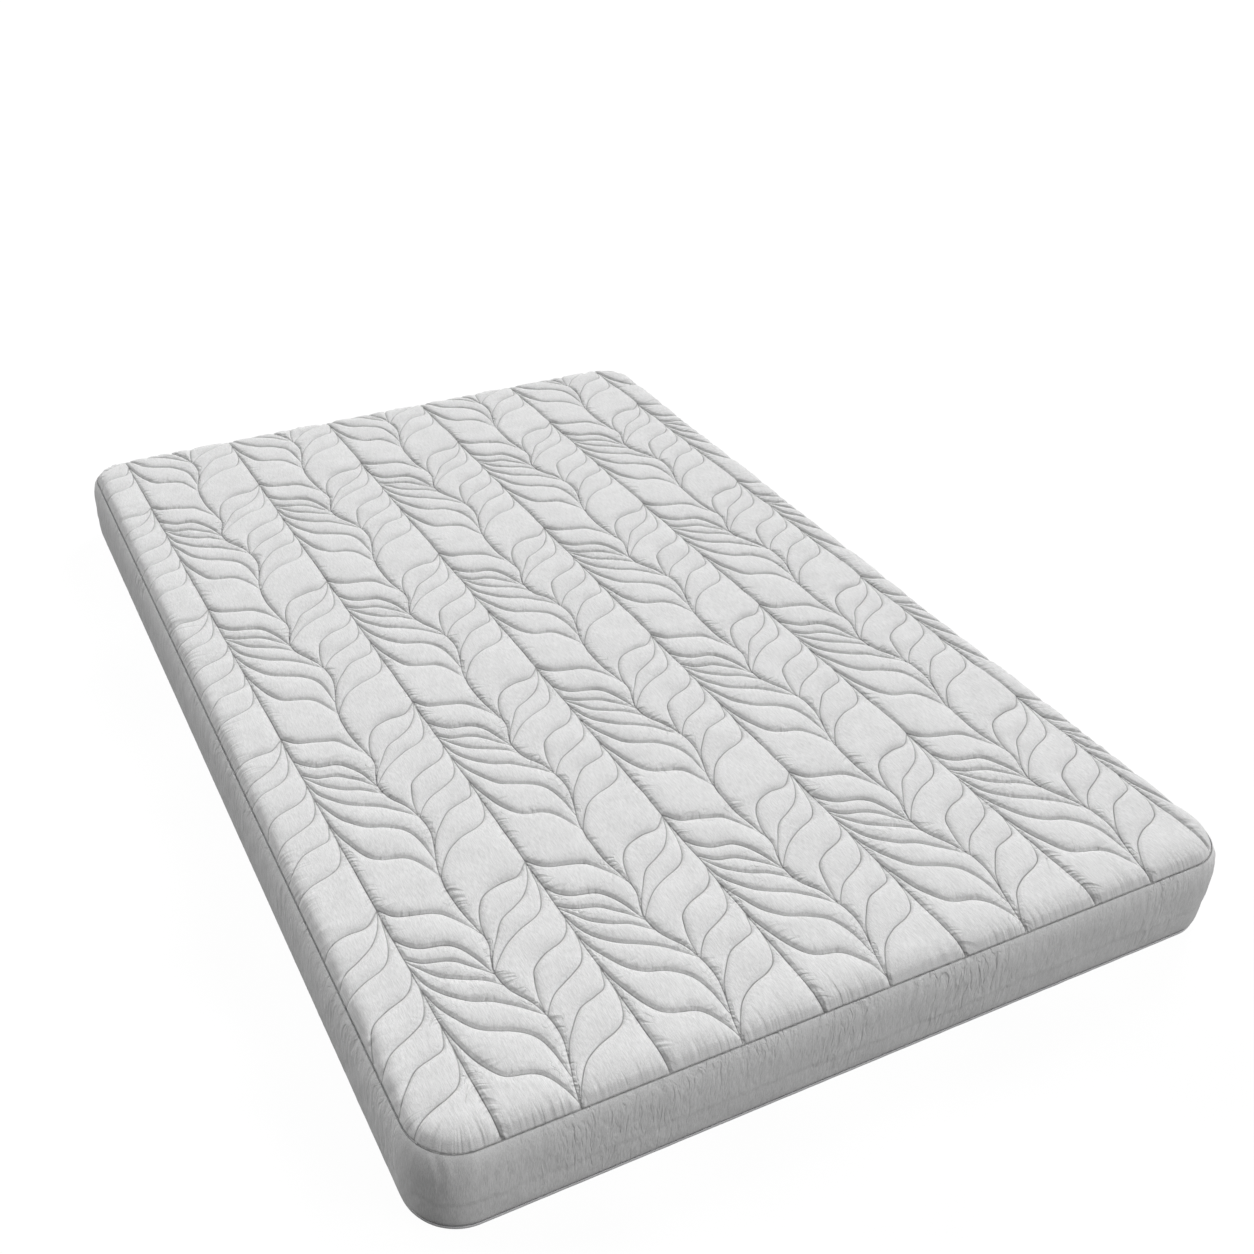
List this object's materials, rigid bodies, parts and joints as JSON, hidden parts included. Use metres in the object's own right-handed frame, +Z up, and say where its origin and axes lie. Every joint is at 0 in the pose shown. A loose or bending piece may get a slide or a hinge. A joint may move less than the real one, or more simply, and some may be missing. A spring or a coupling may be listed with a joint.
{
  "type": "futon mattress",
  "caption": "Thick foam and fibre futon mattress in a zipped cover with a leaf-quilted top, folding along its long centre line.",
  "frame": {"origin": "middle of the underside", "axes": "+X across the width towards the back half, +Y along the length, +Z up"},
  "size_m": [1.372, 2.032, 0.16],
  "materials": {
    "quilted_face": "soft heathered light grey knit, quilted in leaf columns",
    "border_fabric": "soft light grey knit, plain, slightly puckered",
    "base_cloth": "plain woven grey cloth, matte",
    "binding_tape": "woven tape, matte",
    "nonwoven_backing": "thin nonwoven, matte",
    "fibre_wadding": "lofty polyester fibre, matte",
    "fire_sock": "thin rib-knit sleeve, matte",
    "core_foam": "open cell foam, matte cream",
    "comfort_foam": "open cell foam, matte pale blue",
    "zip_tape": "woven zip tape, matte",
    "zip_coil": "moulded nylon coil, satin",
    "zip_metal": "die cast, satin"
  },
  "bodies": {
    "seat_half": {"face_fabric_seat": "quilted_face", "quilt_wadding_seat": "fibre_wadding", "quilt_backing_seat": "nonwoven_backing", "border_fabric_seat": "border_fabric", "border_padding_seat": "fibre_wadding", "seam_binding_seat": "binding_tape", "base_cloth_seat": "base_cloth", "fire_sock_seat": "fire_sock", "base_batting_seat": "fibre_wadding", "core_foam_seat": "core_foam", "comfort_foam_seat": "comfort_foam", "top_batting_seat": "fibre_wadding", "upper_zip_tape_seat": "zip_tape", "lower_zip_tape_seat": "zip_tape", "upper_zip_coil_seat": "zip_coil", "lower_zip_coil_seat": "zip_coil"},
    "back_half": {"face_fabric_back": "quilted_face", "quilt_wadding_back": "fibre_wadding", "quilt_backing_back": "nonwoven_backing", "border_fabric_back": "border_fabric", "border_padding_back": "fibre_wadding", "seam_binding_back": "binding_tape", "base_cloth_back": "base_cloth", "fire_sock_back": "fire_sock", "base_batting_back": "fibre_wadding", "core_foam_back": "core_foam", "comfort_foam_back": "comfort_foam", "top_batting_back": "fibre_wadding", "upper_zip_tape_back": "zip_tape", "lower_zip_tape_back": "zip_tape", "upper_zip_coil_back": "zip_coil", "lower_zip_coil_back": "zip_coil", "upper_zip_coil_start": "zip_coil", "lower_zip_coil_start": "zip_coil", "zip_top_stop_upper": "zip_metal", "zip_top_stop_lower": "zip_metal", "zip_bottom_stop": "zip_metal"},
    "zip_slider": {"zip_slider": "zip_metal"},
    "zip_pull": {"zip_pull_tab": "zip_metal"}
  },
  "joints": [
    {"name": "fold", "type": "hinge", "parent": "seat_half", "child": "back_half", "pos_m": [0, 0, 0.1603], "axis": [0, -1, 0], "range_deg": [0, 75]},
    {"name": "zip_slide", "type": "slide", "parent": "back_half", "child": "zip_slider", "axis": [0, -1, 0], "range_m": [0, 1.8]},
    {"name": "pull_swing", "type": "hinge", "parent": "zip_slider", "child": "zip_pull", "pos_m": [0.68385, 0.9147, 0.0065], "axis": [0, 0, 1], "range_deg": [0, 170]}
  ]
}
